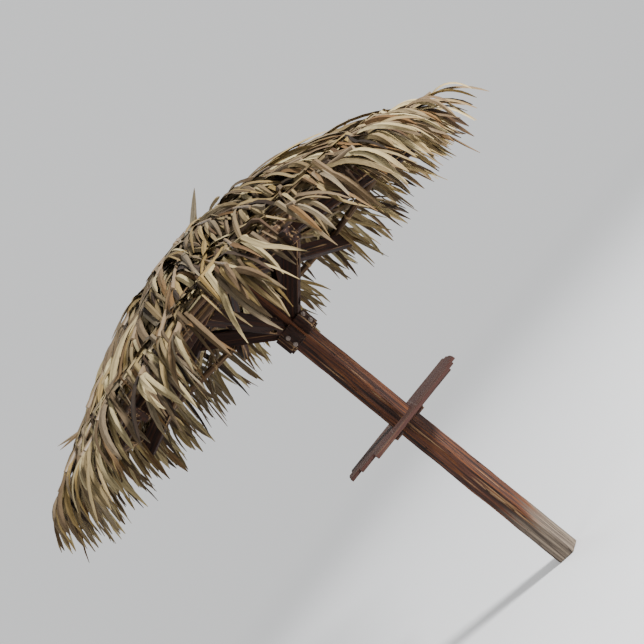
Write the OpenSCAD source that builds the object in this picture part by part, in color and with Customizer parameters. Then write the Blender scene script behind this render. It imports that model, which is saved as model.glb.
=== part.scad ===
// Thatched beach parasol: a square timber post planted in sand, four corner braces on
// cleats, a ring frame of rafters and purlins, eight bundles of dried palm fronds, and a
// plank table round the post. Origin at the middle of the post's foot, +Z up, +Y away
// from the viewer and +X to the viewer's right. Millimetres.

/* [Post] */
// Side of the square post
post_side = 120; // [100:5:140]
// Height of the post's top above the sand
post_top = 2500; // [2300:20:2800]
// Turn of the post about its own axis
post_turn = 31; // [20:1:40]
// Chamfer on the post's four arrises
post_arris = 8; // [2:1:14]

/* [Hub] */
// How far below the post's top the cleats' tops sit
hub_drop = 510; // [440:10:600]
// Height of one cleat
cleat_tall = 120; // [90:5:140]
// How far a cleat stands out from the post's face
cleat_out = 52; // [40:2:65]
// Width of a cleat along the post's face
cleat_wide = 100; // [80:5:110]
// Depth of a brace, square to its length
brace_deep = 96; // [70:2:110]
// Thickness of a brace
brace_thick = 50; // [40:2:60]
// Rise of the braces above level
brace_rise = 37; // [30:1:42]

/* [Canopy frame] */
// Lean of the whole canopy frame, down at +X
lean = 3; // [0:0.5:4]
// Fall of the rafters below level
rafter_fall = 12; // [8:1:15]
// Reach of the rafters from the post's axis
rafter_reach = 1400; // [1200:20:1500]
// Width of every rafter
rafter_wide = 50; // [40:2:60]
// Depth of the four main rafters
rafter_deep = 100; // [80:5:120]
// Depth of the four hip rafters
hip_deep = 75; // [60:5:80]
// How far the outer ring of purlins sits in from the rafters' ends
ring_inset = 110; // [60:10:200]
// Radius of the inner ring of purlins, out to its corners
inner_ring = 700; // [500:10:900]
// Diameter of the purlin poles
purlin_d = 44; // [36:2:54]
// How deep a purlin is notched over a rafter
purlin_notch = 6; // [3:1:10]
// Side of the cap board on the post
cap_side = 168; // [140:4:200]
// Thickness of the cap board
cap_thick = 28; // [18:2:34]

/* [Thatch] */
// Height of the thatch above the post's top
crown_rise = 205; // [185:5:260]
// Reach of the thatch past the rafters' ends towards +X
past_right = 230; // [180:10:400]
// Reach of the thatch past the rafters' ends towards -X
past_left = 330; // [180:10:400]
// Reach of the thatch past the rafters' ends towards the viewer
past_front = 200; // [180:10:400]
// Reach of the thatch past the rafters' ends, away from the viewer
past_back = 260; // [180:10:400]
// Length of leaf that hangs below the dome at the rim
rim_hang = 190; // [120:10:240]
// Thickness of the hanging rim
rim_thick = 70; // [50:5:90]
// Gap between neighbouring bundles, in degrees
frond_gap = 0.4; // [0.2:0.1:1]
// Gap between the thatch and what holds it
thatch_gap = 6; // [5:1:12]
// Length of the leaf that stands up from the crown
spike_long = 170; // [100:10:200]

/* [Table] */
// Height of the table's top above the sand
table_top = 1185; // [900:5:1400]
// Thickness of the boards
board_thick = 22; // [18:1:30]
// Width of one board
board_wide = 122; // [90:2:122]
// Gap between boards
board_gap = 8; // [4:1:12]
// Reach of the longest board towards -X
board_left = 462; // [400:2:600]
// Reach of the longest board towards +X
board_right = 442; // [400:2:600]
// Depth of a bearer at the post
bearer_deep = 36; // [30:1:60]
// Depth of a bearer at its ends
bearer_tip = 16; // [12:1:24]
// Thickness of a bearer
bearer_thick = 52; // [46:2:70]
// Room left round the post where the boards are notched
notch_room = 4; // [2:1:8]

/* [Fixings] */
// Diameter of the cleat bolts
cleat_bolt_d = 12; // [8:1:14]
// Diameter of the two bolts that clamp the table's bearers
clamp_bolt_d = 10; // [8:1:12]
// Diameter of the coach screws in the braces
coach_d = 10; // [8:1:12]
// Diameter of the screws in the boards
screw_d = 5; // [4:0.5:6]
// Diameter of the nails in the canopy frame
nail_d = 5; // [4:0.5:6]
// Thickness of the twine that ties the fronds down
twine_d = 4; // [3:0.5:5]

/* [Hidden] */
$fn = 64;
sides = ["right", "back", "left", "front"];
corners = ["back_right", "back_left", "front_left", "front_right"];
board_count = 6;
bay_count = 8;
bay = 360 / bay_count;

wood_dark = "#53302B";
wood_red = "#7A4A37";
wood_worn = "#7A6A55";
straw = "#C8B98E";
zinc = "#9A9C9B";

// Half the post, and how far its arrises reach along X and Y once it is turned
half = post_side / 2;
arris_reach = half * (cos(post_turn) + sin(post_turn));

// Room round a bolt in its hole, and the sides of heads, nuts and washers
bolt_room = 1;
washer_thick = 2.5;
function washer_d(d) = 2.4 * d;
function head_thick(d) = 0.7 * d;
function hex_d(d) = 1.6 * d / cos(30);

// The rafters' tops fall from the middle of the post's top
function rafter_line(r) = -r * tan(rafter_fall);
// Underside of the thatch, on top of the purlins
function thatch_under(r) = rafter_line(r) - purlin_notch + purlin_d + thatch_gap;
// Fall of the thatch's outer face at a share u of its reach: a flat crown and a rolled rim
dome_fall = 406;
dome_roll = 172;
rim_facets = 240;
function thatch_over(u) = crown_rise - dome_fall * pow(u, 2) - dome_roll * pow(u, 6);
// Radius of the outer ring of purlins, out to its corners
outer_ring = rafter_reach - ring_inset;
// Reach of the thatch in direction a
function reach(a) = rafter_reach + pow(cos(a), 2) * (cos(a) > 0 ? past_right : past_left)
    + pow(sin(a), 2) * (sin(a) > 0 ? past_back : past_front);
function frond_side(k) = bay * (k - 1);

cleat_top = post_top - hub_drop;
cleat_mid = cleat_top - cleat_tall / 2;
// The cleats' bolts pass each other inside the post
cleat_bolt_lift = [[38, -14], [14, -38]];
coach_seat = 35;
coach_in_post = 45;
coach_in_rafter = 60;
foot_screw_lift = 38;
head_screw_r = 430;
nail_in_rafter = 45;
nail_set = 14;

board_pitch = board_wide + board_gap;
// The front edge of the table, and how much shorter each board is than the longest
table_front = 372;
left_short = [212, 205, 88, 6, 0, 22];
right_short = [85, 42, 5, 0, 4, 18];
board_under = table_top - board_thick;
bearer_end = 12;
screw_bite = 10;
screw_edge = 16;
clamp_y = arris_reach + clamp_bolt_d / 2 + 3;
clamp_z = board_under - bearer_deep / 2;
// The bearers keep their full depth from the post out past the bolts
bearer_flat = clamp_y + 2 * clamp_bolt_d;

// Turns its children to look out of the post's face k.
module on_side(k) {
    rotate([0, 0, 90 * k - post_turn]) children();
}

// Leans everything above the post's top about the middle of that top.
module canopy() {
    translate([0, 0, post_top]) rotate([0, lean, 0]) children();
}

// Local X runs down a rafter's top in direction k * bay from the post's first face.
module on_rafter(k) {
    rotate([0, 0, bay * k - post_turn]) rotate([0, rafter_fall, 0]) children();
}

module post_prism(room = 0) {
    s = half + room;
    c = post_arris;
    rotate([0, 0, -post_turn])
        linear_extrude(height = post_top + 2 * post_side)
            polygon([
                [s - c, -s], [s, c - s], [s, s - c], [s - c, s],
                [c - s, s], [-s, s - c], [-s, c - s], [c - s, -s]
            ]);
}

// A rod along X from the origin.
module rod(d, length) {
    rotate([0, 90, 0]) cylinder(d = d, h = length);
}

// A washer and a hex head or nut along X, with the washer's seat at the origin.
module hex_end(d) {
    rod(washer_d(d), washer_thick);
    translate([washer_thick, 0, 0])
        rotate([0, 90, 0]) cylinder(d = hex_d(d), h = head_thick(d), $fn = 6);
}

// A bolt along X, centred, with a washer and a head or nut at each end.
module through_bolt(d, grip) {
    translate([-grip / 2, 0, 0]) rod(d, grip);
    for (end = [0, 180]) rotate([0, 0, end]) translate([grip / 2, 0, 0]) hex_end(d);
}

module cleat_bolt_places() {
    for (pair = [0, 1], lift = cleat_bolt_lift[pair])
        on_side(pair) translate([0, 0, cleat_mid + lift]) children();
}

// Screws at a brace's foot, along local -X into the post.
module foot_screw_place(k) {
    on_side(k) translate([half + coach_seat + 10, 0, cleat_top + foot_screw_lift]) children();
}

// Screws at a brace's head, up into the rafter; local X points down and out.
module head_screw_place(k) {
    canopy() on_rafter(2 * k)
        translate([head_screw_r, 0, -rafter_deep - coach_seat]) rotate([0, 90, 0]) children();
}

module coach_screw(length) {
    translate([-length, 0, 0]) rod(coach_d, length);
    hex_end(coach_d);
}

// The hole that a coach screw needs: its shank and a counterbore for its head.
module coach_hole(length, bore) {
    translate([-length, 0, 0]) rod(coach_d, length);
    rod(washer_d(coach_d) + 4, bore);
}

// A nail through a purlin's end into the rafter below it, at both ends of every purlin.
module purlin_nail_places(ring) {
    for (k = [0:bay_count - 1], end = [-1, 1])
        rotate([0, 0, bay * (k + 0.5) - post_turn])
            translate([ring * cos(bay / 2), end * (ring * sin(bay / 2) - nail_set),
                rafter_line(ring) - purlin_notch + purlin_d])
                children();
}

module purlin_nail() {
    translate([0, 0, -purlin_d - nail_in_rafter])
        cylinder(d = nail_d, h = purlin_d + nail_in_rafter);
    cylinder(d = 2.2 * nail_d, h = 2);
}

// A pair of skew nails through a rafter's sides into the post.
module skew_nail(k, start = 3) {
    skew = 30;
    depth = k % 2 == 0 ? rafter_deep : hip_deep;
    face = k % 2 == 0 ? half : half * sqrt(2);
    for (side = [-1, 1])
        on_rafter(k)
            translate([face + 34, side * rafter_wide / 2, -depth * (0.5 + 0.15 * side)])
                rotate([0, 0, 180 + side * skew])
                    translate([start, 0, 0]) rod(nail_d, 75 - start);
}

module post() {
    color(wood_dark)
        difference() {
            post_prism();
            canopy() translate([-post_side, -post_side, 0]) cube([2, 2, 4] * post_side);
            cleat_bolt_places()
                translate([-post_side, 0, 0]) rod(cleat_bolt_d + bolt_room, 2 * post_side);
            for (k = [0:3])
                foot_screw_place(k) coach_hole(coach_seat + 10 + coach_in_post, 1);
            for (k = [0:bay_count - 1]) canopy() skew_nail(k);
        }
}

// A block on the post's face that carries a brace, its lower outer corner stepped back.
module hub_cleat(k) {
    step = cleat_out / 4;
    color(wood_dark)
        difference() {
            on_side(k)
                translate([0, cleat_wide / 2, 0]) rotate([90, 0, 0])
                    linear_extrude(height = cleat_wide)
                        polygon([
                            [half, cleat_top - cleat_tall],
                            [half + cleat_out - step, cleat_top - cleat_tall],
                            [half + cleat_out - step, cleat_top - cleat_tall + step],
                            [half + cleat_out, cleat_top - cleat_tall + step],
                            [half + cleat_out, cleat_top],
                            [half, cleat_top]
                        ]);
            cleat_bolt_places()
                translate([-2 * post_side, 0, 0]) rod(cleat_bolt_d + bolt_room, 4 * post_side);
        }
}

// A corner brace from a cleat to a main rafter. The lean makes one side steeper.
module brace(k) {
    rise = brace_rise - lean * cos(90 * k - post_turn);
    long = rafter_reach / 2;
    up = brace_deep / cos(rise);
    lower = cleat_top + (half + long) * tan(rise);
    toe = half + cleat_out;
    color(wood_dark)
        difference() {
            on_side(k)
                translate([0, brace_thick / 2, 0]) rotate([90, 0, 0])
                    linear_extrude(height = brace_thick)
                        polygon([
                            [half, cleat_top],
                            [toe, cleat_top],
                            [toe + long, cleat_top + long * tan(rise)],
                            [toe + long, cleat_top + long * tan(rise) + up],
                            [half, cleat_top + up - cleat_out * tan(rise)]
                        ]);
            canopy() on_rafter(2 * k)
                translate([-post_side, -post_side, -rafter_deep])
                    cube([rafter_reach, 2 * post_side, rafter_reach]);
            foot_screw_place(k) coach_hole(coach_seat + 10, rafter_reach / 4);
            head_screw_place(k) coach_hole(coach_seat + 1, rafter_reach / 4);
        }
}

module rafter_blank(k) {
    depth = k % 2 == 0 ? rafter_deep : hip_deep;
    on_rafter(k)
        translate([0, -rafter_wide / 2, -depth])
            cube([rafter_reach / cos(rafter_fall), rafter_wide, depth]);
}

module rafter(k) {
    color(wood_dark)
        difference() {
            canopy() rafter_blank(k);
            post_prism();
            if (k % 2 == 1) canopy() for (next = [-1, 1]) rafter_blank(k + next);
            canopy() for (ring = [inner_ring, outer_ring]) purlin_nail_places(ring) purlin_nail();
            canopy() skew_nail(k, 0);
            if (k % 2 == 0) head_screw_place(k / 2) coach_hole(coach_seat + coach_in_rafter, 1);
        }
}

// A pole from one rafter to the next, mitred to its neighbours and notched over the rafters.
module purlin(ring, k) {
    apothem = ring * cos(bay / 2);
    color(wood_dark)
        canopy()
            difference() {
                rotate([0, 0, bay * (k - 0.5) - post_turn])
                    intersection() {
                        translate([apothem, ring, rafter_line(ring) - purlin_notch + purlin_d / 2])
                            rotate([90, 0, 0]) cylinder(d = purlin_d, h = 2 * ring);
                        translate([0, 0, -post_top / 2])
                            linear_extrude(height = post_top)
                                polygon([
                                    [0, 0],
                                    [2 * ring, -2 * ring * tan(bay / 2)],
                                    [2 * ring, 2 * ring * tan(bay / 2)]
                                ]);
                    }
                for (end = [k - 1, k]) rafter_blank(end);
                purlin_nail_places(ring) purlin_nail();
            }
}

module cap_board() {
    edge = 5;
    s = cap_side / 2;
    color(wood_dark)
        canopy()
            rotate([0, 0, -post_turn])
                rotate([90, 0, 0]) translate([0, 0, -s])
                    linear_extrude(height = cap_side)
                        polygon([
                            [-s, 0], [s, 0], [s, cap_thick - edge], [s - edge, cap_thick],
                            [edge - s, cap_thick], [-s, cap_thick - edge]
                        ]);
}

// One bundle of fronds: an eighth of the dome, with its own reach and a hanging rim.
module frond_bundle(k) {
    far = reach(frond_side(k));
    start = 35;
    steps = 14;
    cap_top = cap_thick + thatch_gap;
    cap_clear = cap_side / sqrt(2) + thatch_gap;
    turn = bay - frond_gap;
    eave = thatch_over(1) - rim_hang;
    past_rafter = rafter_reach + 4 * thatch_gap;
    outline = concat(
        [for (i = [0:steps]) let (r = start + (far - start) * i / steps) [r, thatch_over(r / far)]],
        [[far - rim_thick / 3, eave], [far - rim_thick, eave + rim_thick / 3]],
        [[(past_rafter + far - rim_thick) / 2, thatch_under(past_rafter) - rim_hang / 3]],
        [[past_rafter, thatch_under(past_rafter)], [cap_clear + rim_thick, thatch_under(cap_clear)]],
        [[cap_clear, cap_top], [start, cap_top]]
    );
    color(straw)
        canopy()
            rotate([0, 0, frond_side(k) - turn / 2])
                rotate_extrude(angle = turn, $fn = rim_facets) polygon(outline);
}

crown_r = 210;
crown_tall = 42;

// The tangle of cut frond butts that closes the crown, as a low lens.
module crown_blank() {
    steps = 8;
    near = rafter_reach + past_front;
    translate([0, 0, 1])
        rotate_extrude()
            polygon(concat(
                [[0, crown_rise]],
                [for (i = [1:steps]) let (r = crown_r * i / steps) [r, thatch_over(r / near)]],
                [for (i = [steps - 1:-1:0]) let (r = crown_r * i / steps)
                    [r, thatch_over(r / near) + crown_tall * cos(90 * i / steps)]]
            ));
}

module crown_knot() {
    color(straw) canopy() crown_blank();
}

// A stiff leaf that stands up out of the crown.
module spike_leaf() {
    wide = 30;
    thick = 4;
    lean_over = 50;
    color(wood_worn)
        canopy()
            difference() {
                translate([0, 0, crown_rise + crown_tall / 2])
                    rotate([0, lean_over, 0]) rotate([0, 0, -20])
                        translate([-thick / 2, 0, 0]) rotate([90, 0, 90])
                            linear_extrude(height = thick)
                                polygon([
                                    [-wide / 3, 0], [wide / 3, 0], [wide / 2, spike_long / 3],
                                    [0, spike_long], [-wide / 2, spike_long / 3]
                                ]);
                crown_blank();
            }
}

// Turns of twine round the purlins, where the fronds are tied down.
module twine_lashings() {
    turns = 5;
    places = concat(
        [for (k = [1:bay_count], s = [-0.5, 0.5]) [outer_ring, k, s]],
        [for (k = [1:bay_count]) [inner_ring, k, 0]]
    );
    color(straw)
        canopy()
            for (p = places)
                rotate([0, 0, bay * (p[1] - 0.5) - post_turn])
                    translate([p[0] * cos(bay / 2), p[2] * p[0] * sin(bay / 2),
                        rafter_line(p[0]) - purlin_notch + purlin_d / 2])
                        rotate([90, 0, 0])
                            difference() {
                                cylinder(d = purlin_d + 2 * twine_d, h = turns * twine_d, center = true);
                                cylinder(d = purlin_d, h = 2 * turns * twine_d, center = true);
                            }
}

function board_y(i) = -table_front + board_wide / 2 + i * board_pitch;

// A plank of the table, notched where it meets the post.
module table_board(i) {
    left = board_left - left_short[i];
    right = board_right - right_short[i];
    edge = 2;
    color(i < 2 ? wood_worn : wood_red)
        difference() {
            translate([-left, board_y(i), board_under])
                rotate([90, 0, 90])
                    linear_extrude(height = left + right)
                        polygon([
                            [-board_wide / 2, 0], [board_wide / 2, 0],
                            [board_wide / 2, board_thick - edge], [board_wide / 2 - edge, board_thick],
                            [edge - board_wide / 2, board_thick], [-board_wide / 2, board_thick - edge]
                        ]);
            post_prism(notch_room);
            board_screw_places(i) board_screw();
        }
}

module board_screw_places(i) {
    for (side = [-1, 1], edge = [-1, 1])
        translate([side * (half + bearer_thick - screw_edge), board_y(i) + edge * board_wide * 0.29,
            table_top])
            children();
}

module board_screw() {
    translate([0, 0, -board_thick - screw_bite]) cylinder(d = screw_d, h = board_thick + screw_bite);
    translate([0, 0, -screw_d / 2]) cylinder(d1 = screw_d, d2 = 2 * screw_d, h = screw_d / 2);
}

// A tapered bearer under the boards, notched over the post's arris.
module table_bearer(side) {
    front = -table_front + bearer_end;
    back = board_y(board_count - 1) + board_wide / 2 - bearer_end;
    near = side > 0 ? half : -half - bearer_thick;
    color(wood_dark)
        difference() {
            translate([near, 0, board_under])
                rotate([90, 0, 90])
                    linear_extrude(height = bearer_thick)
                        polygon([
                            [front, 0], [front, -bearer_tip], [-bearer_flat, -bearer_deep],
                            [bearer_flat, -bearer_deep], [back, -bearer_tip], [back, 0]
                        ]);
            post_prism();
            for (i = [0:board_count - 1]) board_screw_places(i) board_screw();
            clamp_places() translate([-post_side * 2, 0, 0]) rod(clamp_bolt_d + bolt_room, post_side * 4);
        }
}

module clamp_places() {
    for (end = [-1, 1]) translate([0, end * clamp_y, clamp_z]) children();
}

module cleat_bolts() {
    color(zinc) cleat_bolt_places() through_bolt(cleat_bolt_d, 2 * (half + cleat_out));
}

module clamp_bolts() {
    color(zinc) clamp_places() through_bolt(clamp_bolt_d, 2 * (half + bearer_thick));
}

module brace_screws() {
    color(zinc)
        for (k = [0:3]) {
            foot_screw_place(k) coach_screw(coach_seat + 10 + coach_in_post);
            head_screw_place(k) coach_screw(coach_seat + coach_in_rafter);
        }
}

module board_screws() {
    color(zinc) for (i = [0:board_count - 1]) board_screw_places(i) board_screw();
}

module frame_nails() {
    color(zinc)
        canopy() {
            for (ring = [inner_ring, outer_ring]) purlin_nail_places(ring) purlin_nail();
            for (k = [0:bay_count - 1]) skew_nail(k);
        }
}

post();
cap_board();
crown_knot();
spike_leaf();
twine_lashings();
for (k = [0:3]) {
    hub_cleat(k);
    brace(k);
    rafter(2 * k);
    rafter(2 * k + 1);
}
for (k = [1:bay_count]) {
    purlin(outer_ring, k);
    purlin(inner_ring, k);
    frond_bundle(k);
}
table_bearer(-1);  // table_bearer_left
table_bearer(1);  // table_bearer_right
for (k = [1:board_count])
    table_board(k - 1);
cleat_bolts();
brace_screws();
clamp_bolts();
board_screws();
frame_nails();
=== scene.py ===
import math
import random

import bmesh
import bpy
from mathutils import Matrix, Quaternion, Vector


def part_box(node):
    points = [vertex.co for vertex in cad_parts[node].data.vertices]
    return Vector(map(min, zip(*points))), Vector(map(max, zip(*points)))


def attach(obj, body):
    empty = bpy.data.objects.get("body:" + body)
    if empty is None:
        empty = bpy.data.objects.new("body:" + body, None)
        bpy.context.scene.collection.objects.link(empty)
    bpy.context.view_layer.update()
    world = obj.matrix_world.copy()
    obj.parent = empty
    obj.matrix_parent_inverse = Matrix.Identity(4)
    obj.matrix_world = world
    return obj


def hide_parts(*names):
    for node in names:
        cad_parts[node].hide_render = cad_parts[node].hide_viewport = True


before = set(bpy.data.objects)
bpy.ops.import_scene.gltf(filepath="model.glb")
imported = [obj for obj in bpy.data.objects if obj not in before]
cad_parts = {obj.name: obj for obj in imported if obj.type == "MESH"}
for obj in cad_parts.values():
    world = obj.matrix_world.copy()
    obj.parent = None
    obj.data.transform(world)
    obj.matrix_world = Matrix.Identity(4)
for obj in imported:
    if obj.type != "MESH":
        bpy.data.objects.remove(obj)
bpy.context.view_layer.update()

# ---------------------------------------------------------------- sizes, in metres

POST_TURN = math.radians(-31.0)
LEAN = math.radians(3.0)  # the canopy leans down at +X about the middle of the post's top
CAP_HALF = 0.084
# The cap board's lowest corner lies this far down the lean from that middle
CAP_CORNER = CAP_HALF * (math.cos(POST_TURN) - math.sin(POST_TURN))
POST_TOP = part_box("cap_board")[0].z + CAP_CORNER * math.sin(LEAN)
BAYS = 8
BAY = math.tau / BAYS
RAFTER_FALL = math.radians(12.0)
BRACE_RISE = math.radians(37.0)
RAFTER_SLOPE = math.tan(RAFTER_FALL)
PURLIN_RADIUS, TWINE_RADIUS = 0.022, 0.002
PURLIN_TOP = 0.038  # above the rafters' tops
OUTER_RING, INNER_RING = 1.29, 0.70  # from the post's axis to the corners of the purlin rings
CROWN_RISE = 0.205  # the thatch's top above the post's top
DOME_FALL, DOME_ROLL = 0.406, 0.172  # its fall to the rim, as a dome and in the rolled edge
CAP_REACH = 0.15  # the thatch is level this far out, over the cap board
REACH = {"right": 1.63, "back": 1.66, "left": 1.73, "front": 1.60}  # of the thatch
TABLE_BOARDS = 6

FLOOR_RADIUS = 120.0
FLOOR_FADE = (4.0, 16.0)  # distances at which the floor starts and ends turning to glow
LAMP_AIM = (0.0, 0.0, 1.5)
EYE_HEIGHT, EYE_DISTANCE = 1.63, 6.0
EYE_AIM = (0.13, 0.0, 1.86)
VIEW_ROLL = math.radians(51.0)
LENS_MM, SENSOR_MM = 60.0, 36.0

SIDES = ["right", "back", "left", "front"]
CORNERS = ["back_right", "back_left", "front_left", "front_right"]

# Node kinds that come often, and kinds with one setting
MATH, VECTOR, NOISE = "ShaderNodeMath", "ShaderNodeVectorMath", "ShaderNodeTexNoise"
MAP, SPLIT, COMBINE = "ShaderNodeMapRange", "ShaderNodeSeparateXYZ", "ShaderNodeCombineXYZ"
RAMP, ATTRIBUTE = "ShaderNodeValToRGB", "ShaderNodeAttribute"
READ, STORE = "GeometryNodeInputNamedAttribute", "GeometryNodeStoreNamedAttribute"
TIMES, PLUS, MINUS, TIMES_PLUS = [
    (MATH, "operation", word) for word in ("MULTIPLY", "ADD", "SUBTRACT", "MULTIPLY_ADD")]
STRETCHED, SCALED, VECTOR_PLUS = [
    (VECTOR, "operation", word) for word in ("MULTIPLY", "SCALE", "ADD")]
READ_VECTOR, STORE_VECTOR = [(kind, "data_type", "FLOAT_VECTOR") for kind in (READ, STORE)]
MIX = ("ShaderNodeMix", "data_type", "RGBA")


def linear(hex_colour, alpha=1.0):
    """An sRGB hex colour as the linear values that shaders take."""
    parts = [int(hex_colour[i:i + 2], 16) / 255 for i in (1, 3, 5)]
    return (*[p / 12.92 if p <= 0.04045 else ((p + 0.055) / 1.055) ** 2.4 for p in parts], alpha)


def fill(tree, socket, value):
    """Links a node or an output to an input, or sets its value; None leaves it alone."""
    if isinstance(value, bpy.types.Node):
        value = next(output for output in value.outputs if output.enabled)
    if isinstance(value, bpy.types.NodeSocket):
        tree.links.new(value, socket)
    elif value is not None:
        socket.default_value = value


def node(tree, kind, *inputs, stops=None, named=None, **settings):
    """Adds a node with its settings and fills its live inputs in order, and others by name.

    kind is a node's type, alone or with the name and value of a setting. stops are a colour
    ramp's places and hex colours.
    """
    if isinstance(kind, tuple):
        kind, setting, choice = kind
        settings[setting] = choice
    made = tree.nodes.new(kind)
    for key, value in settings.items():
        setattr(made, key, value)
    if stops:
        elements = made.color_ramp.elements
        elements.remove(elements[1])
        elements[0].position = stops[0][0]
        elements[0].color = linear(stops[0][1])
        for place, colour in stops[1:]:
            elements.new(place).color = linear(colour)
    live = [socket for socket in made.inputs if socket.enabled]
    for socket, value in zip(live, inputs):
        fill(tree, socket, value)
    for key, value in (named or {}).items():
        fill(tree, made.inputs[key], value)
    return made


def new_material(name):
    """A material and its node tree."""
    made = bpy.data.materials.new(name)
    made.use_nodes = True
    return made, made.node_tree


def dress(made, inputs):
    """Fills the inputs of a material's Principled shader by name, and returns the material."""
    tree = made.node_tree
    for key, value in inputs.items():
        fill(tree, tree.nodes["Principled BSDF"].inputs[key], value)
    return made


def keep(mesh, key, values):
    """Keeps a number or a vector for each point of a mesh."""
    if len(values) == len(mesh.vertices):
        mesh.attributes.new(key, "FLOAT", "POINT").data.foreach_set("value", values)
    else:
        mesh.attributes.new(key, "FLOAT_VECTOR", "POINT").data.foreach_set("vector", values)


def new_tree(name, numbers, others=()):
    """A geometry node group with named inputs; returns the group and its input sockets."""
    tree = bpy.data.node_groups.new(name, "GeometryNodeTree")
    face = tree.interface
    face.new_socket("Geometry", in_out="INPUT", socket_type="NodeSocketGeometry")
    for key, value in numbers.items():
        face.new_socket(key, in_out="INPUT", socket_type="NodeSocketFloat").default_value = value
    for key, kind in others:
        face.new_socket(key, in_out="INPUT", socket_type=kind)
    face.new_socket("Geometry", in_out="OUTPUT", socket_type="NodeSocketGeometry")
    return tree, node(tree, "NodeGroupInput").outputs


def made_by_nodes(name, mesh, tree, values):
    """Runs a node group on a mesh and keeps the result as one plain mesh object."""
    source = bpy.data.objects.new(name + "_source", mesh)
    bpy.context.collection.objects.link(source)
    modifier = source.modifiers.new("nodes", "NODES")
    modifier.node_group = tree
    for item in tree.interface.items_tree:
        if item.item_type == "SOCKET" and item.in_out == "INPUT" and item.name in values:
            modifier[item.identifier] = values[item.name]
    shown = source.evaluated_get(bpy.context.evaluated_depsgraph_get())
    result = bpy.data.meshes.new_from_object(shown)
    result.name = name
    bpy.data.objects.remove(source)
    piece = bpy.data.objects.new(name, result)
    bpy.context.collection.objects.link(piece)
    return piece


def hand_over(piece, slot, *nodes):
    """The piece stands for these nodes of the frame, which it hides; slot is not used."""
    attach(piece, "root")
    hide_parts(*nodes)


# ---------------------------------------------------------------- stage

def set_stage():
    """A pale floor that fades into the same pale surround, and soft lamps."""
    surround = linear("#EDEEEF")
    world = bpy.data.worlds.new("pale surround")
    bpy.context.scene.world = world
    world.use_nodes = True
    glow = world.node_tree.nodes["Background"]
    glow.inputs["Color"].default_value = surround
    glow.inputs["Strength"].default_value = 1.0

    bpy.ops.mesh.primitive_circle_add(vertices=96, radius=FLOOR_RADIUS, fill_type="NGON")
    floor = bpy.context.object
    floor.name = "floor"
    paint, tree = new_material("pale matt floor")
    dress(paint, {"Base Color": linear("#DADBDC"), "Roughness": 0.9})
    place = node(tree, "ShaderNodeTexCoord")
    away = node(tree, VECTOR, place.outputs["Object"], operation="LENGTH")
    fade = node(tree, MAP, away.outputs["Value"], *FLOOR_FADE, interpolation_type="SMOOTHSTEP")
    glow = node(tree, "ShaderNodeEmission", surround, 1.0)
    mix = node(tree, "ShaderNodeMixShader", fade, tree.nodes["Principled BSDF"], glow)
    fill(tree, tree.nodes["Material Output"].inputs["Surface"], mix)
    floor.data.materials.append(paint)

    # Name, place, disk's width and power
    lamps = [
        ("key_lamp", (6.3, -5.2, 4.9), 1.4, 2700.0),
        ("fill_lamp", (-6.5, -5.0, 3.5), 5.0, 170.0),
        ("back_lamp", (-3.0, 6.5, 6.0), 4.0, 220.0),
    ]
    for name, place, size, power in lamps:
        data = bpy.data.lights.new(name, "AREA")
        data.energy = power
        data.size = size
        data.shape = "DISK"
        lamp = bpy.data.objects.new(name, data)
        lamp.location = place
        lamp.rotation_mode = "QUATERNION"
        lamp.rotation_quaternion = (Vector(LAMP_AIM) - Vector(place)).to_track_quat("-Z", "Y")
        bpy.context.collection.objects.link(lamp)


def set_camera():
    """A standing person's view from the front, turned about the line of sight."""
    data = bpy.data.cameras.new("camera")
    camera = bpy.data.objects.new("camera", data)
    bpy.context.collection.objects.link(camera)
    camera.location = (0.0, -EYE_DISTANCE, EYE_HEIGHT)
    level = (Vector(EYE_AIM) - camera.location).to_track_quat("-Z", "Y")
    camera.rotation_mode = "QUATERNION"
    camera.rotation_quaternion = level @ Quaternion((0, 0, 1), -VIEW_ROLL)
    data.sensor_width = SENSOR_MM
    data.lens = LENS_MM
    bpy.context.scene.camera = camera


set_stage()
set_camera()


# ---------------------------------------------------------------- thatch

def reach(azimuth):
    """How far the thatch reaches in a direction, as in the frame."""
    c, s = math.cos(azimuth), math.sin(azimuth)
    sideways = REACH["right" if c > 0 else "left"]
    return c * c * sideways + s * s * REACH["back" if s > 0 else "front"]


def thatch_over(r, azimuth):
    """The thatch's outer face above the post's top."""
    u = r / reach(azimuth)
    return CROWN_RISE - DOME_FALL * u**2 - DOME_ROLL * u**6


def thatch_under(r):
    """The purlins' tops, above the post's top."""
    return PURLIN_TOP - RAFTER_SLOPE * max(r, CAP_REACH)


# Fronds of one bundle in layers from the purlins out: how many, where they start and end from
# the post's axis, their height between the purlins (0) and the outer face (1), and leaf length
LAYERS = [
    (3, 0.16, 1.45, 0.08, 0.56),
    (3, 0.12, 1.36, 0.38, 0.60),
    (2, 0.10, 1.10, 0.68, 0.56),
    (2, 0.08, 0.76, 0.92, 0.44),
]
LINE_STEPS = 16  # along a frond's line
STAGGER = 0.25  # how far every other layer is set sideways, in spaces between fronds
TURN_SPREAD = 0.10  # share of a bay
BOW_SPREAD = 0.10  # sideways turn at the tip, radians
FAR_SHARES, LEAF_SHARES = (0.95, 1.03), (0.92, 1.08)  # of a layer's end and leaf length
ARCH, DROOP = 0.10, 0.08  # the middle's rise and the tip's fall, as shares of the thatch's depth
LOWEST_LINE = 0.012  # above the purlins, so that a midrib clears them


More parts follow.
